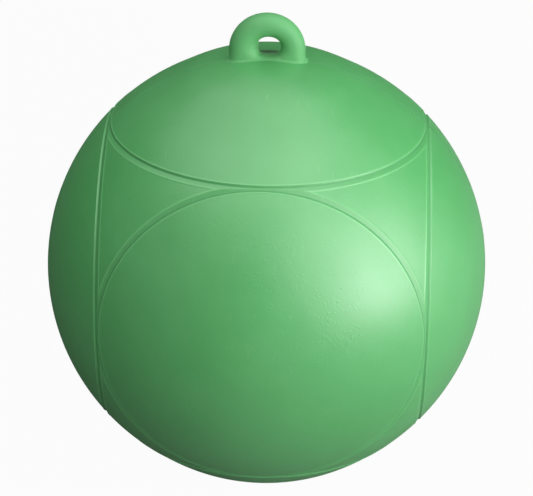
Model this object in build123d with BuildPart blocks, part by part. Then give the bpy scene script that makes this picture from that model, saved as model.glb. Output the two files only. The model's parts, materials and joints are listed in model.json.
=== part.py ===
from build123d import *
import os
from math import cos, degrees, radians, sin

# Slalom buoy: an inflatable vinyl ball with a moulded rope eye on its crown.
# Origin at the ball's centre, +Z through the eye, the eye's hole along Y, millimetres.

# Ball
ball_diameter = 216.0
wall = 4.0

# Six round panels, one on each axis, parted by grooves that meet between neighbours
panel_angle = 44.9
groove_depth = 1.1
groove_floor_width = 2.2
groove_mouth_width = 3.4
bury = 1.0
overcut = 4.0
corner_spread = 30.0
seam_turn = 45.0

# Rope eye, heights measured up from the ball's crown
eye_width = 36.0
eye_depth = 10.8
eye_height = 23.1
eye_hole_diameter = 10.4
eye_hole_rise = 7.1
eye_edge_round = 4.8
eye_hole_round = 3.6
eye_flat_margin = 0.3
eye_root_fillet = 3.0
eye_foot_margin = 4.5
eye_root_depth = 9.0

# Inflation valve on the underside, opposite the eye
boss_diameter = 34.0
boss_depth = 11.0
flange_diameter = 24.0
flange_thickness = 2.4
flange_sink = 1.0
stem_diameter = 14.0
collar_diameter = 17.0
collar_thickness = 1.5
plug_diameter = 8.0
plug_length = 9.0
plug_clearance = 0.2
plug_head_diameter = 13.0
plug_head_thickness = 1.6
coin_slot_width = 1.8
coin_slot_depth = 0.9
rim_chamfer = 0.4

ball_radius = ball_diameter / 2
floor_radius = ball_radius - groove_depth
base_radius = floor_radius - bury
floor_half = degrees(groove_floor_width / 2 / floor_radius)
mouth_half = degrees(groove_mouth_width / 2 / ball_radius)


def polar(radius, angle):
    return (radius * sin(radians(angle)), radius * cos(radians(angle)))


def groove_half(radius):
    rise = (radius - floor_radius) / groove_depth
    return floor_half + (mouth_half - floor_half) * rise


def cap_section(plane, low_radius, low_angle, high_radius, high_angle):
    low_edge = polar(low_radius, low_angle)
    high_edge = polar(high_radius, high_angle)
    with BuildSketch(plane) as section:
        with BuildLine():
            Line((0, low_radius), (0, high_radius))
            ThreePointArc((0, high_radius), polar(high_radius, high_angle / 2), high_edge)
            Line(high_edge, low_edge)
            ThreePointArc(low_edge, polar(low_radius, low_angle / 2), (0, low_radius))
        make_face()
    return section.sketch


def eye_oval(height):
    with BuildSketch(Plane.XY.offset(height)) as oval:
        SlotOverall(eye_width + 2 * eye_foot_margin, eye_depth + 2 * eye_foot_margin)
    return oval.sketch


# One round panel on +Z, its rim sloping down into the groove
with BuildPart() as panel:
    rim_low = panel_angle - groove_half(base_radius)
    rim_high = panel_angle - groove_half(ball_radius)
    revolve(cap_section(Plane.XZ, base_radius, rim_low, ball_radius, rim_high), axis=Axis.Z)

# Everything inside the outer wall of one groove
with BuildPart() as groove_reach:
    reach_low = base_radius - overcut
    reach_high = ball_radius + overcut
    wall_low = panel_angle + groove_half(reach_low)
    wall_high = panel_angle + groove_half(reach_high)
    revolve(cap_section(Plane.XZ, reach_low, wall_low, reach_high, wall_high), axis=Axis.Z)

# One three-cornered field between three neighbouring panels
with BuildPart() as corner_field:
    diagonal = Vector(1, 1, 1).normalized()
    across = Vector(1, 1, -2).normalized()
    diagonal_plane = Plane(origin=(0, 0, 0), x_dir=across, z_dir=across.cross(diagonal))
    field_cap = cap_section(diagonal_plane, base_radius, corner_spread, ball_radius, corner_spread)
    revolve(field_cap, axis=Axis((0, 0, 0), diagonal))
    for turn in (Rotation(0, 0, 0), Rotation(0, 90, 0), Rotation(-90, 0, 0)):
        add(turn * groove_reach.part, mode=Mode.SUBTRACT)

raised_fields = []
for turn in (Rotation(0, 0, 0), Rotation(180, 0, 0)):
    raised_fields.append(turn * panel.part.solid())
for quarter in range(4):
    spin = Rotation(0, 0, 90 * quarter)
    raised_fields.append(spin * Rotation(0, 90, 0) * panel.part.solid())
    raised_fields.append(spin * corner_field.part.solid())
    raised_fields.append(spin * Rotation(180, 0, 0) * corner_field.part.solid())

# Hollow shell with the raised fields, the eye's oval opening and the valve's seat
root_height = ball_radius - eye_root_depth
flange_face = flange_sink - ball_radius
flange_seat = flange_face + flange_thickness
boss_top = boss_depth - ball_radius
with BuildPart() as ball_shell:
    Sphere(floor_radius, rotation=(0, 0, seam_turn))
    add(raised_fields)
    Sphere(ball_radius - wall, mode=Mode.SUBTRACT)
    with BuildSketch(Plane.XY.offset(flange_seat)):
        Circle(boss_diameter / 2)
    extrude(amount=boss_top - flange_seat)
    with BuildSketch(Plane.XY.offset(flange_seat)):
        Circle(flange_diameter / 2)
    extrude(amount=-flange_thickness - overcut, mode=Mode.SUBTRACT)
    with BuildSketch(Plane.XY.offset(flange_seat)):
        Circle(stem_diameter / 2)
    extrude(amount=boss_top - flange_seat, mode=Mode.SUBTRACT)
    extrude(eye_oval(root_height), amount=eye_root_depth + overcut, mode=Mode.SUBTRACT)

# Solid eye: a rounded arch with a flared hole, on a foot flush with the ball.
# Its rounds leave a flat margin on the thinnest stretch of the bar.
arch_height = ball_radius + eye_height - eye_width / 2
hole_height = ball_radius + eye_hole_rise
bar_top = eye_height - eye_hole_rise - eye_hole_diameter / 2
bar_side = (eye_width - eye_hole_diameter) / 2
bar_room = min(bar_top, bar_side) - eye_flat_margin
depth_room = (eye_depth - eye_flat_margin) / 2
round_fit = min(1, bar_room / (eye_edge_round + eye_hole_round), depth_room / eye_edge_round)
with BuildPart() as arch:
    with BuildSketch(Plane.XZ):
        with BuildLine():
            left_spring = (-eye_width / 2, arch_height)
            right_spring = (eye_width / 2, arch_height)
            ThreePointArc(left_spring, (0, ball_radius + eye_height), right_spring)
            Polyline(right_spring, (eye_width / 2, root_height), (-eye_width / 2, root_height), left_spring)
        make_face()
        with Locations((0, hole_height)):
            Circle(eye_hole_diameter / 2, mode=Mode.SUBTRACT)
    extrude(amount=eye_depth / 2, both=True)
    side_faces = arch.faces().filter_by(Axis.Y)
    hole_edges = [face.inner_wires()[0].edge() for face in side_faces]
    fillet(hole_edges, eye_hole_round * round_fit)
    rim_edges = []
    for face in arch.faces().filter_by(Axis.Y):
        rim_edges += face.outer_wire().edges().filter_by(lambda edge: edge.center().Z > root_height)
    fillet(rim_edges, eye_edge_round * round_fit)

with BuildPart() as rope_eye:
    extrude(eye_oval(root_height), amount=eye_root_depth)
    Sphere(ball_radius, rotation=(90, 0, 0), mode=Mode.INTERSECT)
    add(arch.part)
    crown_face = rope_eye.faces().filter_by(GeomType.SPHERE).sort_by(SortBy.AREA)[-1]
    fillet(crown_face.inner_wires()[0].edges(), eye_root_fillet)

# Valve bush, its flange let into the shell and its collar behind the boss
with BuildPart() as valve_body:
    with BuildSketch(Plane.XY.offset(flange_face)):
        Circle(flange_diameter / 2)
    extrude(amount=flange_thickness)
    with BuildSketch(Plane.XY.offset(flange_seat)):
        Circle(stem_diameter / 2)
    extrude(amount=boss_top - flange_seat + collar_thickness)
    with BuildSketch(Plane.XY.offset(boss_top)):
        Circle(collar_diameter / 2)
    extrude(amount=collar_thickness)
    with BuildSketch(Plane.XY.offset(flange_face)):
        Circle(plug_head_diameter / 2 + plug_clearance)
    extrude(amount=plug_head_thickness, mode=Mode.SUBTRACT)
    with BuildSketch(Plane.XY.offset(flange_face)):
        Circle(plug_diameter / 2 + plug_clearance)
    extrude(amount=boss_top + collar_thickness - flange_face, mode=Mode.SUBTRACT)
    chamfer(valve_body.faces().sort_by(Axis.Z)[0].outer_wire().edges(), rim_chamfer)

# Screw plug with a coin slot across its head
with BuildPart() as valve_plug:
    with BuildSketch(Plane.XY.offset(flange_face)):
        Circle(plug_head_diameter / 2)
    extrude(amount=plug_head_thickness)
    with BuildSketch(Plane.XY.offset(flange_face)):
        Circle(plug_diameter / 2)
    extrude(amount=plug_head_thickness + plug_length)
    chamfer(valve_plug.faces().sort_by(Axis.Z)[0].outer_wire().edges(), rim_chamfer)
    with BuildSketch(Plane.XY.offset(flange_face)):
        Rectangle(plug_head_diameter, coin_slot_width)
    extrude(amount=coin_slot_depth, mode=Mode.SUBTRACT)

os.makedirs("parts", exist_ok=True)
ball_shell.part.label = "ball_shell"
rope_eye.part.label = "rope_eye"
valve_body.part.label = "valve_body"
valve_plug.part.label = "valve_plug"
export_step(ball_shell.part, "parts/ball_shell.step")
export_step(rope_eye.part, "parts/rope_eye.step")
export_step(valve_body.part, "parts/valve_body.step")
export_step(valve_plug.part, "parts/valve_plug.step")
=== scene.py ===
import json
import math
import bmesh
import bpy
import numpy as np
from mathutils import Matrix, Vector


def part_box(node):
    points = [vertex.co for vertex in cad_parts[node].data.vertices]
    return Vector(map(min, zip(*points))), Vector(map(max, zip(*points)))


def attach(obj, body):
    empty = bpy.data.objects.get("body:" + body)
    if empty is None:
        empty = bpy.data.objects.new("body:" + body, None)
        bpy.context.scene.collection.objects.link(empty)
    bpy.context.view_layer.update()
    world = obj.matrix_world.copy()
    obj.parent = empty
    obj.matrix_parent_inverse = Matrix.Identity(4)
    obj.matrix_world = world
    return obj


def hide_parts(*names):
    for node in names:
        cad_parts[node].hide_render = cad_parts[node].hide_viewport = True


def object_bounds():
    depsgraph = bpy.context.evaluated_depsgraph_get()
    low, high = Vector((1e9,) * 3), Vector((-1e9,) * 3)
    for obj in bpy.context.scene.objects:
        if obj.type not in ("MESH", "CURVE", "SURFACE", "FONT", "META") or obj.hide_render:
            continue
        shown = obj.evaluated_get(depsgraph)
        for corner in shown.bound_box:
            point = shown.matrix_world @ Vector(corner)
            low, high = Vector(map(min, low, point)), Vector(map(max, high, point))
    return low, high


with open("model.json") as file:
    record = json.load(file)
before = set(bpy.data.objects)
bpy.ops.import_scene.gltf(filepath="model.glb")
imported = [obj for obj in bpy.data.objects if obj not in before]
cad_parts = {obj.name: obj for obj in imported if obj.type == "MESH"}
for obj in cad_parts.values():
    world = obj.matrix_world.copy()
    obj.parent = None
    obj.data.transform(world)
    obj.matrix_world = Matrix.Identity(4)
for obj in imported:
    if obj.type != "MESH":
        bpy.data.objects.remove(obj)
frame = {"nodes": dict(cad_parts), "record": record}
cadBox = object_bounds()
scene = bpy.context.scene
eyeHole = [mount for mount in frame["record"]["mounts"] if mount["name"] == "rope_eye"][0]
holeMiddle = np.array(eyeHole["pos_m"])
millimetre = 0.001
tiny = 1e-12            # keeps divisors off zero
noiseMiddle = 0.5       # the value that a noise lies round
fullWhite = (1, 1, 1, 1)
print("frame loaded:", ", ".join(frame["nodes"]))


# Shader sums: a wrapped socket takes part in Python expressions, and each sum adds its Math node
class Wire:
    def __init__(self, socket):
        self.socket = socket

    def node(self, kind, settings, sockets, output=0):  # settings first, then the sockets' values or links
        tree = self.socket.id_data
        made = tree.nodes.new(kind)
        for name, value in settings.items():
            if name == "stops":
                setStops(made.color_ramp, value)
            else:
                setattr(made, name, value)
        for name, value in sockets.items():
            if isinstance(value, Wire):
                tree.links.new(value.socket, made.inputs[name])
            else:
                made.inputs[name].default_value = value
        return Wire(made.outputs[output])

    def sum(self, operation, first, second):
        return self.node("ShaderNodeMath", {"operation": operation}, {0: first, 1: second})

    def __add__(self, other):
        return self.sum("ADD", self, other)

    def __radd__(self, other):
        return self.sum("ADD", other, self)

    def __sub__(self, other):
        return self.sum("SUBTRACT", self, other)

    def __rsub__(self, other):
        return self.sum("SUBTRACT", other, self)

    def __mul__(self, other):
        return self.sum("MULTIPLY", self, other)

    def __rmul__(self, other):
        return self.sum("MULTIPLY", other, self)

    def __abs__(self):
        return self.sum("ABSOLUTE", self, 0)

    def step(self, low, high):  # 0 below low, 1 above high, eased between
        sockets = {"Value": self, "From Min": low, "From Max": high}
        return self.node("ShaderNodeMapRange", {"interpolation_type": "SMOOTHSTEP"}, sockets)

    def stretched(self, scale):
        return self.node("ShaderNodeMapping", {}, {"Vector": self, "Scale": scale})

    def distance(self, point):
        return self.node("ShaderNodeVectorMath", {"operation": "DISTANCE"}, {0: self, 1: point}, "Value")

    def cloud(self, size, detail, stretch=(1, 1, 1)):  # noise with features of a size in millimetres
        sockets = {"Vector": self.stretched(stretch), "Scale": 1 / (size * millimetre), "Detail": detail}
        return self.node("ShaderNodeTexNoise", {}, sockets)

    def patches(self, noise, ends):  # the high parts of a cloud, cut out between two of its values
        return self.cloud(*noise).step(*ends)

    def spots(self, size, ends):  # round spots, strewn a size in millimetres apart
        sockets = {"Vector": self, "Scale": 1 / (size * millimetre)}
        return 1 - self.node("ShaderNodeTexVoronoi", {}, sockets).step(*ends)

    def share(self, name):  # what setShare put on the mesh, 0 where it has none
        return self.node("ShaderNodeAttribute", {"attribute_name": name}, {}, "Fac")

    def ramp(self, stops):
        return self.node("ShaderNodeValToRGB", {"stops": stops}, {"Fac": self})

    def tint(self, colour, share):  # this colour turned towards another one by a share
        sockets = {0: share, 6: self, 7: (*colour, 1)}
        return self.node("ShaderNodeMix", {"data_type": "RGBA"}, sockets, 2)

    def bump(self, height):  # metres of height where the value is 1
        return self.node("ShaderNodeBump", {}, {"Strength": 1, "Distance": height, "Height": self})


def setStops(ramp, stops):
    while len(ramp.elements) < len(stops):
        ramp.elements.new(0.5)
    for element, (place, colour) in zip(ramp.elements, stops):
        element.position = place
        element.color = (*colour, 1)


def newMaterial(name):  # an empty tree, its output and the piece's own coordinates in metres
    material = bpy.data.materials.new(name)
    material.use_nodes = True
    tree = material.node_tree
    tree.nodes.clear()
    output = tree.nodes.new("ShaderNodeOutputMaterial")
    place = Wire(tree.nodes.new("ShaderNodeTexCoord").outputs["Object"])
    return material, output, place


def setSurface(output, shader):
    output.id_data.links.new(shader.socket, output.inputs["Surface"])


# Meshes
def weldedMesh(name, points, faces, weld=2e-6):
    # Corners nearer than the weld in metres become one, and faces of no area go
    mesh = bpy.data.meshes.new(name)
    mesh.from_pydata(points.reshape(-1, 3).tolist(), [], faces.reshape(-1, faces.shape[-1]).tolist())
    shell = bmesh.new()
    shell.from_mesh(mesh)
    bmesh.ops.remove_doubles(shell, verts=shell.verts, dist=weld)
    bmesh.ops.dissolve_degenerate(shell, edges=shell.edges, dist=weld / 4)
    bmesh.ops.recalc_face_normals(shell, faces=shell.faces)
    shell.to_mesh(mesh)
    shell.free()
    mesh.polygons.foreach_set("use_smooth", np.ones(len(mesh.polygons), bool))
    mesh.update()
    return mesh


def gridFaces(rows, columns, closedRows=False):
    # Quads of a grid whose columns go round, and whose rows do too if they close
    row = np.arange(rows if closedRows else rows - 1)[:, None]
    column = np.arange(columns)[None, :]
    nextRow = (row + 1) % rows
    nextColumn = (column + 1) % columns
    corners = (row * columns + column, nextRow * columns + column,
               nextRow * columns + nextColumn, row * columns + nextColumn)
    return np.stack([np.broadcast_to(corner, (len(row), columns)) for corner in corners], axis=-1)


def addPiece(name, mesh, material, replaced=()):
    piece = bpy.data.objects.new(name, mesh)
    scene.collection.objects.link(piece)
    mesh.materials.append(material)
    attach(piece, "root")
    if replaced:
        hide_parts(*replaced)
    print(f"{name}: {len(mesh.polygons)} faces")


def setShare(mesh, name, share):  # a value for each vertex, or one for all, that the material reads
    values = np.broadcast_to(np.asarray(share, np.float32), len(mesh.vertices))
    mesh.attributes.new(name, "FLOAT", "POINT").data.foreach_set("value", values)


def unit(vectors):
    return vectors / np.maximum(np.linalg.norm(vectors, axis=-1, keepdims=True), tiny)


def eased(value):  # smooth step of a value clipped to 0 and 1
    share = np.clip(value, 0, 1)
    return share * share * (3 - 2 * share)


def fromTo(value, ends):  # smooth step from one end to the other
    return eased((value - ends[0]) / (ends[1] - ends[0]))


def bell(value, width):  # 1 at zero, 1/e half a width to either side
    return np.exp(-(value / (width / 2)) ** 2)


# Ball
ball = {
    "radius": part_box("ball_shell")[1].x,
    "panelAngle": math.radians(45.0),       # from a panel's axis to the middle of its groove
    "cornerAngle": math.radians(55.0),      # just past the corner of a panel's sixth of the ball
    "grooveDepth": 0.57 * millimetre,
    "grooveFoot": -0.7 * millimetre,        # its deepest line, measured outward from its middle
    "panelLip": -1.58 * millimetre,
    "cornerLip": 1.75 * millimetre,
    "wallEase": 0.4,                        # 0 is a straight wall with hard lips, 1 an S curve
    "beadRise": 0.12 * millimetre,          # fine raised lips along the groove
    "beadWidth": 0.8 * millimetre,
    "beadCrest": 1 / 6,                     # of its width, how far its crest lies outside the lip
    "beadReach": 1.4,                       # widths past the lip that the groove's rows cover
    "footShadeWidth": 0.5 * millimetre,          # of the painted shade along the groove's foot
    "grime": 0.2,                           # painted shade in the grooves, most at their foot
    "crownSwell": 1.5 * millimetre,
    "crownReach": (30 * millimetre, 54 * millimetre),   # from the Z axis, where it starts to ease and ends
    "baseSwell": 1.0 * millimetre,
    "baseReach": (50 * millimetre, 76 * millimetre),
    "valveDish": (14 * millimetre, 34 * millimetre),    # where the base's swell starts and is full
    "columns": 256,
    "panelRows": 24,
    "grooveRows": 45,
    "cornerRows": 8,
    "seatRadius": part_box("valve_body")[1].x + 0.05 * millimetre,    # a little clear of the flange
    "seatDepth": 3.4 * millimetre,
    "seatLip": 0.35 * millimetre,
    "seatRounding": (0, 0.12, 0.5, 1),      # of the lip's radius, outward and in reverse order downward
}


def grooveSection(turn):
    # Groove depth, lip and foot at an angle from a panel's axis: a short wall down from the panel's lip and
    # a long ramp up to the corner field's lip, both between straight and smooth, less a bell-shaped bead
    # outside each lip
    aside = (turn - ball["panelAngle"]) * ball["radius"]
    foot = ball["grooveFoot"]
    lip = np.where(aside < foot, ball["panelLip"], ball["cornerLip"])
    outside = (aside - lip) * np.sign(lip - foot)
    rise = np.clip((aside - foot) / (lip - foot), 0, 1)
    rise = rise + ball["wallEase"] * (eased(rise) - rise)
    bead = bell(outside - ball["beadCrest"] * ball["beadWidth"], ball["beadWidth"])
    drop = ball["grooveDepth"] * (1 - rise) - ball["beadRise"] * bead
    # the bead's bell also places the painted highlight on the lips, the foot's bell the painted shade along
    # the foot
    return drop, bead, bell(aside - foot, ball["footShadeWidth"])


def skinDrop(turn):
    return grooveSection(turn)[0]


def capSwell(points):
    # The ball is drawn out along Z: the crown by a level cap that eases into the sphere, the underside by
    # a wider one with a dish in its middle, so that the valve's seat stays as it is
    aside = np.hypot(points[..., 0], points[..., 1])
    crown = ball["crownSwell"] * (1 - fromTo(aside, ball["crownReach"]))
    base = ball["baseSwell"] * (1 - fromTo(aside, ball["baseReach"])) * fromTo(aside, ball["valveDish"])
    return np.where(points[..., 2] > 0, crown, base)


def seatProfile():
    # Rows of the valve's seat as angle from its axis and distance from the ball's middle: a level floor,
    # an upright wall and a rounded lip that ends on the skin
    rounding = ball["seatLip"] * np.array(ball["seatRounding"])
    floorReach = np.array((0, ball["seatRadius"] - ball["seatLip"], ball["seatRadius"]))
    floorHeight = np.full(len(floorReach), ball["radius"] - ball["seatDepth"])
    lipReach = ball["seatRadius"] + rounding
    lipHeight = np.sqrt(ball["radius"] ** 2 - lipReach ** 2) - rounding[::-1]
    reach = np.concatenate((floorReach, lipReach))
    height = np.concatenate((floorHeight, lipHeight))
    return np.arctan2(reach, height), np.hypot(reach, height)


def sixthOfBall(startTurn, startRadius):
    # One panel's sixth of the ball: rows turn away from its axis, columns swing round it.
    # A row ends halfway to the next panel, where tan(turn) = 1 / cos(swing from that panel's side).
    panelAngle = ball["panelAngle"]
    band = (ball["cornerLip"] + ball["beadReach"] * ball["beadWidth"]) / ball["radius"]
    panelRows = np.linspace(startTurn[-1], panelAngle - band, ball["panelRows"], endpoint=False)[1:]
    grooveRows = panelAngle + np.linspace(-band, band, ball["grooveRows"])
    cornerRows = np.linspace(panelAngle + band, ball["cornerAngle"], ball["cornerRows"] + 1)[1:]
    swing = np.linspace(0, 2 * math.pi, ball["columns"], endpoint=False)
    side = (swing + math.pi / 4) % (math.pi / 2) - math.pi / 4
    limit = np.arctan(1 / np.cos(side))
    rows = np.concatenate((startTurn, panelRows, grooveRows, cornerRows))
    turn = np.minimum(rows[:, None], limit[None, :])
    radius = ball["radius"] - skinDrop(turn)
    radius[:len(startRadius)] = startRadius[:, None]
    across = np.sin(turn)
    direction = np.stack((across * np.cos(swing), across * np.sin(swing), np.cos(turn)), axis=-1)
    return direction * radius[..., None]


def ballMesh():
    # Six sixths, one on each axis and the valve's seat in the lowest, with the caps' swell and welded
    plain = sixthOfBall(np.zeros(1), np.full(1, ball["radius"]))
    seated = sixthOfBall(*seatProfile())
    quarter = math.pi / 2
    toSide = Matrix.Rotation(quarter, 3, "Y")
    sides = [Matrix.Rotation(k * quarter, 3, "Z") @ toSide for k in range(4)]
    sixths = [plain] + [plain @ np.array(turned).T for turned in sides]
    sixths.append(seated @ np.array(Matrix.Rotation(2 * quarter, 3, "X")).T)
    starts = np.cumsum([0] + [sixth.shape[0] * sixth.shape[1] for sixth in sixths])
    faces = [gridFaces(*sixth.shape[:2]).reshape(-1, 4) + start for sixth, start in zip(sixths, starts)]
    points = np.concatenate([sixth.reshape(-1, 3) for sixth in sixths])
    points = points + unit(points) * capSwell(points)[:, None]
    mesh = weldedMesh("ball_skin", points, np.concatenate(faces))
    corners = np.empty(len(mesh.vertices) * 3)
    mesh.vertices.foreach_get("co", corners)
    corners = np.abs(corners.reshape(-1, 3))
    turn = np.arccos(np.clip(corners.max(-1) / np.linalg.norm(corners, axis=-1), -1, 1))
    drop, bead, foot = grooveSection(turn)
    # painted shade down in the grooves, deepest where they are deepest
    setShare(mesh, "grime", ball["grime"] * np.clip(drop / ball["grooveDepth"], 0, 1))
    # painted highlight on the beads along the lips
    setShare(mesh, "lip", bead)
    # painted shade along the groove's foot
    setShare(mesh, "foot", foot)
    return mesh


# Rope eye
eye = {
    "width": 36.0 * millimetre,
    "lean": -0.75 * millimetre,         # how far the arch stands to the left of its hole
    "depth": 10.6 * millimetre,
    "squareness": (2.1, 3.6),           # of the bar's section, in the arch and under the hole: 2 is round
    "webBlend": (0.08, 0.88),           # sines of the angles below level between which the two blend
    "holeWidth": 11.4 * millimetre,
    "holeRise": 4.7 * millimetre,       # from the hole's middle up to its top
    "holeFall": 4.9 * millimetre,       # and down to its flatter floor
    "holeSquareness": (2.0, 2.6),       # above and below its middle
    "sideFlare": 2.0 * millimetre,      # fillet at the foot, in the parting plane
    "frontFlare": 1.0 * millimetre,     # and towards the front and back
    "flarePower": 5,                    # how soon the one turns into the other
    "matte": 0.32,                      # added to the vinyl's roughness
    "floorDepth": 8.0 * millimetre,     # where the bar ends inside the ball
    "sink": 0.25 * millimetre,          # how far the foot goes under the ball's skin
    "columns": 120,
    "rows": 320,
}


def signedPower(value, power):
    return np.sign(value) * np.abs(value) ** power


def eyeOutline(around):
    # Distance from the hole's middle to the eye's outline: an arch above, straight legs below it,
    # and a level floor inside the ball
    archRadius = eye["width"] / 2
    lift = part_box("rope_eye")[1].z - archRadius - holeMiddle[2]
    along = eye["lean"] * np.cos(around) + lift * np.sin(around)
    toArch = along + np.sqrt(along ** 2 + archRadius ** 2 - eye["lean"] ** 2 - lift ** 2)
    side = np.sign(np.cos(around))
    toLeg = (archRadius + side * eye["lean"]) / np.maximum(np.abs(np.cos(around)), tiny)
    floorHeight = ball["radius"] - eye["floorDepth"]
    toFloor = (holeMiddle[2] - floorHeight) / np.maximum(-np.sin(around), tiny)
    return np.where(toArch * np.sin(around) > lift, toArch, np.minimum(toLeg, toFloor))


def holeEdge(around):
    # Distance from the hole's middle to its narrowest edge: a superellipse, its lower half flatter
    height = np.where(np.sin(around) > 0, eye["holeRise"], eye["holeFall"])
    power = np.where(np.sin(around) > 0, *eye["holeSquareness"])
    across = np.abs(np.cos(around)) / (eye["holeWidth"] / 2)
    along = np.abs(np.sin(around)) / height
    return (across ** power + along ** power) ** (-1 / power)


def eyeMesh():
    # A bar with a rounded section goes round the hole: radial half-width and half-depth times powers of
    # cos and sin. Near the ball its skin swings outward along a quarter circle of the flare's radius.
    around = np.linspace(0, 2 * math.pi, eye["rows"], endpoint=False)[:, None]
    across = np.linspace(0, 2 * math.pi, eye["columns"], endpoint=False)[None, :]
    outline = eyeOutline(around)
    inner = holeEdge(around)
    archSquareness, webSquareness = eye["squareness"]
    under = fromTo(-np.sin(around), eye["webBlend"])
    power = 2 / (archSquareness + (webSquareness - archSquareness) * under)
    reach = (outline + inner) / 2 + (outline - inner) / 2 * signedPower(np.cos(across), power)
    depth = -eye["depth"] / 2 * signedPower(np.sin(across), power) * np.ones_like(around)
    points = holeMiddle + np.stack((reach * np.cos(around), depth, reach * np.sin(around)), axis=-1)
    alongRows = np.roll(points, -1, 0) - np.roll(points, 1, 0)
    alongColumns = np.roll(points, -1, 1) - np.roll(points, 1, 1)
    normal = np.cross(alongRows, alongColumns)
    upward = unit(points)
    outward = unit(normal - (normal * upward).sum(-1, keepdims=True) * upward)
    sideways = (1 - outward[..., 1:2] ** 2) ** (eye["flarePower"] / 2)
    flare = eye["frontFlare"] + (eye["sideFlare"] - eye["frontFlare"]) * sideways
    skin = ball["radius"] + capSwell(points)[..., None]
    height = np.linalg.norm(points, axis=-1, keepdims=True) - skin
    near = np.clip(1 - height / flare, 0, 1)
    foot = points + outward * flare * (1 - np.sqrt(1 - near * near))
    footSkin = ball["radius"] + capSwell(foot)[..., None]
    foot = unit(foot) * (footSkin + np.maximum(height, -eye["sink"]))
    faces = gridFaces(eye["rows"], eye["columns"], closedRows=True)
    mesh = weldedMesh("eye_skin", np.where(near > 0, foot, points), faces)
    setShare(mesh, "matte", eye["matte"])
    return mesh


# Parting flash: the fine ridge that the mould's joint leaves in the plane of the eye
flash = {
    "width": 0.7 * millimetre,
    "proud": 0.06 * millimetre,
    "root": 0.35 * millimetre,              # how far the ridge goes under the skin
    "sectionPoints": 10,
    "ballStart": math.radians(9.0),         # from the crown, under the eye's foot
    "ballEnd": math.radians(173.3),         # just short of the valve's seat
    "ballRows": 900,
    "ballTaper": 0.01,                      # of the path, at each end
    "wander": 0.12 * millimetre,            # from the plane of the eye
    "wanderWaves": (7, 17),                 # waves in a full circle, both added up
    "unevenness": 0.3,                      # of its height
    "unevenWaves": (23, 9),                 # waves in a full circle, one times the other
    "grime": {1: 1.6, -1: 0.4},             # painted shade along the ridge, on the right and left of the ball
    "archStart": math.radians(-22),         # round the hole's middle, counted from the right
    "archEnd": math.radians(202),
    "archRows": 180,
    "archTaper": 0.02,
    "holeRows": 96,
    "holeTongue": 0.75 * millimetre,        # how far the thickest film stands into the hole
    "tongueAt": math.radians(186),
    "tongueWidth": math.radians(48),
}


def ridgeMesh(name, path, outward, width, proud, closed=False):
    # An oval section carried along a path: half the width sideways, the ridge's height outward
    # and its root inward
    sideways = np.array((0.0, 1.0, 0.0))
    turn = np.linspace(0, 2 * math.pi, flash["sectionPoints"], endpoint=False)[None, :, None]
    proud = proud[:, None, None]
    rise = np.where(np.sin(turn) > 0, proud, flash["root"] * np.sign(proud)) * np.sin(turn)
    spread = width[:, None, None] / 2 * np.cos(turn)
    points = path[:, None, :] + sideways * spread + outward[:, None, :] * rise
    return weldedMesh(name, points, gridFaces(len(path), flash["sectionPoints"], closedRows=closed))


def taper(rows, share):  # 1 along a path, easing to 0 over a share of it at each end
    along = np.linspace(0, 1, rows)
    return eased(np.minimum(along, 1 - along) / share)


def ballFlashMesh(name, side):
    # Down one side of the ball in the plane y = 0, following the skin through the grooves
    turn = np.linspace(flash["ballStart"], flash["ballEnd"], flash["ballRows"])
    outward = np.stack((side * np.sin(turn), 0 * turn, np.cos(turn)), axis=-1)
    nearest = np.arccos(np.abs(outward).max(-1))
    skin = ball["radius"] - skinDrop(nearest) + capSwell(outward * ball["radius"])
    path = outward * skin[:, None]
    slow, quick = flash["wanderWaves"]
    path[:, 1] = flash["wander"] * (np.sin(slow * turn + side) + np.sin(quick * turn)) / 2
    fine, broad = flash["unevenWaves"]
    uneven = 1 + flash["unevenness"] * np.sin(fine * turn + 2 * side) * np.sin(broad * turn)
    ends = taper(flash["ballRows"], flash["ballTaper"])
    mesh = ridgeMesh(name, path, outward, flash["width"] * ends, flash["proud"] * ends * uneven)
    # the ridge's colour is darkened with painted shade
    setShare(mesh, "grime", flash["grime"][side])
    return mesh


def fromHole(around):  # directions in the plane of the eye
    return np.stack((np.cos(around), 0 * around, np.sin(around)), axis=-1)


def archFlashMesh():  # over the eye's outline from one leg to the other
    around = np.linspace(flash["archStart"], flash["archEnd"], flash["archRows"])
    path = holeMiddle + fromHole(around) * eyeOutline(around)[:, None]
    tangent = unit(np.gradient(path, axis=0))
    outward = np.stack((tangent[:, 2], 0 * around, -tangent[:, 0]), axis=-1)
    ends = taper(flash["archRows"], flash["archTaper"])
    return ridgeMesh("arch_flash", path, outward, flash["width"] * ends, flash["proud"] * ends)


def holeFlashMesh():  # round the hole's narrowest edge, with a thicker tongue of film on one side
    around = np.linspace(0, 2 * math.pi, flash["holeRows"], endpoint=False)
    path = holeMiddle + fromHole(around) * holeEdge(around)[:, None]
    tongue = bell(around - flash["tongueAt"], flash["tongueWidth"])
    width = np.full(len(path), flash["width"])
    proud = flash["proud"] + flash["holeTongue"] * tongue
    return ridgeMesh("hole_flash", path, -fromHole(around), width, proud, closed=True)
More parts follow.
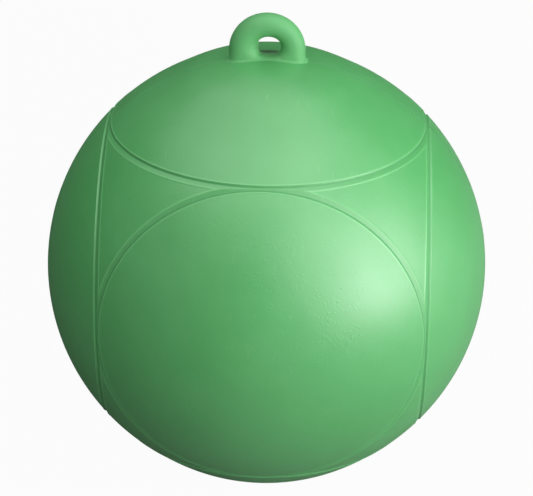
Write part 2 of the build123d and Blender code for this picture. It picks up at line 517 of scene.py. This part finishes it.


# Vinyl: satin green, with clouds of shade, fine grain, a pitted patch on one panel, painted shade in the
# grooves and along their foot, a painted highlight on their lips and a painted shadow behind the eye's web.
# A noise is its size in millimetres, its detail and its stretch.
vinyl = {
    "shades": [(0.3, (0.070, 0.339, 0.097)), (0.5, (0.082, 0.364, 0.111)), (0.72, (0.095, 0.389, 0.126))],
    "plainShade": 0.1,                              # added to what the clouds give
    "broad": (70, 2),                               # noise of the broad clouds of shade
    "broadShare": 0.55,
    "mottle": (9, 3),                               # and of the small ones
    "mottleShare": 0.25,
    "roughness": 0.385,
    "cloudRoughness": 0.10,                         # how far the clouds change it
    "gloss": 1.0,
    # Colour, share of it and added roughness
    "bloom": ((0.27, 0.53, 0.30), 0.16, 0.08),      # dry rubbed film
    "lip": ((0.17, 0.52, 0.20), 0.5, 0.0),          # painted highlight along the grooves' lips
    # painted shade in the grooves and on the flash ridge
    "grime": ((0.045, 0.21, 0.07), 0.5, 0.15),
    "foot": ((0.010, 0.19, 0.045), 0.6, 0.3),       # painted shade along the deepest line of the grooves
    "webShadow": ((0.012, 0.034, 0.008), 0.85, 0.4),     # painted shadow behind the web under the eye's hole
    "webShadowAt": (0, 0.0072, 0.1095),                  # its middle
    "webShadowStretch": (0.32, 1, 1),                    # below 1 draws it out along that axis
    "webShadowReach": (0.0010, 0.0032),
    # Noise, then the values between which it starts to count and counts in full
    "rubs": ((1.6, 2, (1, 0.16, 0.22)), (0.63, 0.74)),
    "rubFields": ((30, 2), (0.5, 0.64)),
    "marks": ((1.5, 1, (1, 0.8, 1.25)), (0.57, 0.7)),
    "markFields": ((8, 1), (0.46, 0.6)),
    "folds": ((4.5, 1, (1, 0.8, 1.3)), (0.0, 0.04)),    # along the noise's middle value
    "foldFields": ((5, 1), (0.56, 0.66)),
    "pits": (1.7, (0.06, 0.3)),                         # millimetres apart, then a pit's floor and rim
    "pitFields": ((6, 1), (0.52, 0.62)),
    "grain": (0.9, 3),
    "peel": (5.5, 2),
    # Heights in millimetres
    "markRise": 0.032,
    "foldRise": 0.025,
    "pitDepth": 0.045,
    "grainRise": 0.014,
    "peelRise": 0.035,
    "wear": (0.65, 0.35),                           # of marks, folds and pits all over, and more in the patch
    "patchAt": (0.029, -0.096, 0.040),
    "patchReach": (0.018, 0.062),
}


def vinylMaterial():
    material, output, place = newMaterial("moulded_vinyl")
    broad = place.cloud(*vinyl["broad"])
    mottle = place.cloud(*vinyl["mottle"])
    shade = broad * vinyl["broadShare"] + mottle * vinyl["mottleShare"] + vinyl["plainShade"]
    colour = shade.ramp(vinyl["shades"])
    clouds = (broad - noiseMiddle) + (mottle - noiseMiddle)
    roughness = vinyl["roughness"] + clouds * vinyl["cloudRoughness"] + place.share("matte")
    # painted shadow behind the eye's web, drawn out sideways
    toWebShadow = place.stretched(vinyl["webShadowStretch"]).distance(vinyl["webShadowAt"])
    # Tints: a rubbed film, then a painted highlight on the lips, painted shade in the grooves and along their
    # foot, and a painted shadow behind the web
    masks = {
        "bloom": place.patches(*vinyl["rubs"]) * place.patches(*vinyl["rubFields"]),
        "lip": place.share("lip"),
        "grime": place.share("grime"),
        "foot": place.share("foot"),
        "webShadow": 1 - toWebShadow.step(*vinyl["webShadowReach"]),
    }
    for name, mask in masks.items():
        tint, share, rougher = vinyl[name]
        colour = colour.tint(tint, mask * share)
        roughness = roughness + mask * rougher

    foldNoise, foldEnds = vinyl["folds"]
    folds = 1 - abs(place.cloud(*foldNoise) - noiseMiddle).step(*foldEnds)
    folds = folds * place.patches(*vinyl["foldFields"])
    marks = place.patches(*vinyl["marks"]) * place.patches(*vinyl["markFields"])
    pits = place.spots(*vinyl["pits"]) * place.patches(*vinyl["pitFields"])
    worn = marks * vinyl["markRise"] + folds * vinyl["foldRise"] - pits * vinyl["pitDepth"]
    patch = 1 - place.distance(vinyl["patchAt"]).step(*vinyl["patchReach"])
    allOver, inPatch = vinyl["wear"]
    grain = place.cloud(*vinyl["grain"]) * vinyl["grainRise"]
    peel = place.cloud(*vinyl["peel"]) * vinyl["peelRise"]
    relief = grain + peel + worn * (allOver + patch * inPatch)
    setSurface(output, place.node("ShaderNodeBsdfPrincipled", {}, {
        "Base Color": colour, "Roughness": roughness, "Specular IOR Level": vinyl["gloss"],
        "Normal": relief.bump(millimetre)}))
    return material


# Valve nylon: black, with a fine sparked grain and paler rubbed spots
valve = {
    "shades": [(0, (0.026, 0.026, 0.028)), (1, (0.075, 0.075, 0.078))],
    "rubs": ((3.5, 3), (0.52, 0.75)),
    "rubShare": 0.55,
    "rubPolish": 0.14,                  # taken from the roughness
    "grain": (0.35, 2),
    "grainShare": 0.18,
    "grainRise": 0.04 * millimetre,
    "grainRoughness": 0.1,
    "roughness": 0.48,
}


def valveMaterial():
    material, output, place = newMaterial("valve_nylon")
    rubs = place.patches(*valve["rubs"])
    grain = place.cloud(*valve["grain"])
    shade = rubs * valve["rubShare"] + grain * valve["grainShare"]
    roughness = valve["roughness"] - rubs * valve["rubPolish"] + grain * valve["grainRoughness"]
    setSurface(output, place.node("ShaderNodeBsdfPrincipled", {}, {
        "Base Color": shade.ramp(valve["shades"]), "Roughness": roughness,
        "Normal": grain.bump(valve["grainRise"])}))
    return material


mouldedVinyl = vinylMaterial()
valveNylon = valveMaterial()
addPiece("ball_skin", ballMesh(), mouldedVinyl, ("ball_shell",))
addPiece("eye_skin", eyeMesh(), mouldedVinyl, ("rope_eye",))
addPiece("ball_flash_right", ballFlashMesh("ball_flash_right", 1), mouldedVinyl)
addPiece("ball_flash_left", ballFlashMesh("ball_flash_left", -1), mouldedVinyl)
addPiece("arch_flash", archFlashMesh(), mouldedVinyl)
addPiece("hole_flash", holeFlashMesh(), mouldedVinyl)
for node in ("valve_body", "valve_plug"):
    frame["nodes"][node].material_slots[0].material = valveNylon
print("pieces made")


# Stage, light and camera
stage = {
    "size": 8.0,
    "flagShade": (0.08, 0.08, 0.08),             # painted shade on the left, as a flag beside the ball would cast it
    "pale": (0.31, 0.31, 0.31),
    "fade": (-0.16, 0.04),                  # metres to the right over which the one turns into the other
    "speckle": ((4, 3), (0.3, 0.7)),
    "speckleShare": 0.08,
    "whiteShare": 0.965,                    # of what the camera sees of the floor; the rest keeps the shadow
    "world": 0.02,
}


def floorMaterial():
    material, output, place = newMaterial("pale_floor")
    speckle = place.patches(*stage["speckle"])
    # painted shade: the floor's colour darkens towards the left
    across = place.node("ShaderNodeSeparateXYZ", {}, {"Vector": place}, "X").step(*stage["fade"])
    shade = across * (1 - stage["speckleShare"]) + speckle * stage["speckleShare"]
    colour = shade.ramp([(0, stage["flagShade"]), (1, stage["pale"])])
    matt = place.node("ShaderNodeBsdfDiffuse", {}, {"Color": colour})
    white = place.node("ShaderNodeEmission", {}, {"Color": fullWhite, "Strength": 1})
    cameraRay = place.node("ShaderNodeLightPath", {}, {}, "Is Camera Ray")
    mixed = {0: cameraRay * stage["whiteShare"], 1: matt, 2: white}
    setSurface(output, place.node("ShaderNodeMixShader", {}, mixed))
    return material


def addFloor():
    half = stage["size"] / 2
    height = cadBox[0].z
    mesh = bpy.data.meshes.new("floor")
    corners = [(-half, -half, height), (half, -half, height), (half, half, height), (-half, half, height)]
    mesh.from_pydata(corners, [], [(0, 1, 2, 3)])
    mesh.materials.append(floorMaterial())
    floor = bpy.data.objects.new("floor", mesh)
    scene.collection.objects.link(floor)


view = {
    "elevation": math.radians(27.33),
    "azimuth": math.radians(2.07),
    "roll": math.radians(0.56),
    "distance": 9.23,               # in ball radii
    "pixels": 218.712,              # the ball's outline radius in the picture
    "pictureWidth": 533,
    "pictureHeight": 496,
    "middle": (266.516, 262.766),   # where the ball's middle falls
    "sensorWidth": 36,
    "clipEnd": 50,
}
viewTurn = (Matrix.Rotation(view["elevation"], 3, "X") @ Matrix.Rotation(view["roll"], 3, "Y")
            @ Matrix.Rotation(-view["azimuth"], 3, "Z")).transposed()
toRight = viewTurn @ Vector((1, 0, 0))
toCamera = viewTurn @ Vector((0, -1, 0))
toTop = viewTurn @ Vector((0, 0, 1))

lampDistance = 1.0  # metres from the ball's middle
lamps = (  # name, degrees right of and above the camera, width in metres, watts, seen in the gloss
    ("low softbox", 60, -22, 0.8, 6.4, True),
    ("side softbox", 60, 0, 0.8, 4.6, True),
    ("front softbox", 30, 0, 0.8, 3.5, True),
    ("overhead", -15, 63, 1.5, 6.2, True),
    ("upper right", 45, 35, 1.2, 2.9, True),
    ("upper front", 0, 35, 1.3, 2.3, True),
    ("far side", 90, 0, 0.8, 1.0, True),
    ("left fill", -42, -4, 1.0, 2.5, False),
    ("back fill", 180, 18, 1.5, 14.0, False),
    ("low fill", 0, -25, 0.8, 0.3, False),
)


def studioWorld():  # white to the camera, almost dark to the pieces
    world = bpy.data.worlds.new("studio")
    world.use_nodes = True
    tree = world.node_tree
    tree.nodes.clear()
    output = tree.nodes.new("ShaderNodeOutputWorld")
    cameraRay = Wire(tree.nodes.new("ShaderNodeLightPath").outputs["Is Camera Ray"])
    dim = cameraRay.node("ShaderNodeBackground", {}, {"Color": fullWhite, "Strength": stage["world"]})
    white = cameraRay.node("ShaderNodeBackground", {}, {"Color": fullWhite, "Strength": 1})
    setSurface(output, cameraRay.node("ShaderNodeMixShader", {}, {0: cameraRay, 1: dim, 2: white}))
    return world


def addLamps():
    for name, right, above, width, power, glossy in lamps:
        lamp = bpy.data.lights.new(name, "AREA")
        lamp.shape = "DISK"
        lamp.size = width
        lamp.energy = power
        swing, rise = math.radians(right), math.radians(above)
        level = toRight * math.sin(swing) + toCamera * math.cos(swing)
        holder = bpy.data.objects.new(name, lamp)
        holder.location = (level * math.cos(rise) + toTop * math.sin(rise)) * lampDistance
        holder.rotation_euler = (-holder.location).to_track_quat("-Z", "Y").to_euler()
        holder.visible_glossy = glossy
        scene.collection.objects.link(holder)


def addCamera():
    # The outline of a ball of radius 1 seen from distance d has radius f / sqrt(d * d - 1) in the picture
    lens = bpy.data.cameras.new("camera")
    lens.sensor_width = view["sensorWidth"]
    focal = view["pixels"] * math.sqrt(view["distance"] ** 2 - 1)
    lens.lens = focal * lens.sensor_width / view["pictureWidth"]
    lens.shift_x = (view["pictureWidth"] / 2 - view["middle"][0]) / view["pictureWidth"]
    lens.shift_y = (view["middle"][1] - view["pictureHeight"] / 2) / view["pictureWidth"]
    lens.clip_end = view["clipEnd"]
    holder = bpy.data.objects.new("camera", lens)
    facing = Matrix((toRight, toTop, toCamera)).transposed().to_4x4()
    holder.matrix_world = Matrix.Translation(toCamera * view["distance"] * ball["radius"]) @ facing
    scene.collection.objects.link(holder)
    scene.camera = holder


addFloor()
addLamps()
scene.world = studioWorld()
addCamera()
scene.view_settings.view_transform = "Standard"
print("stage set")
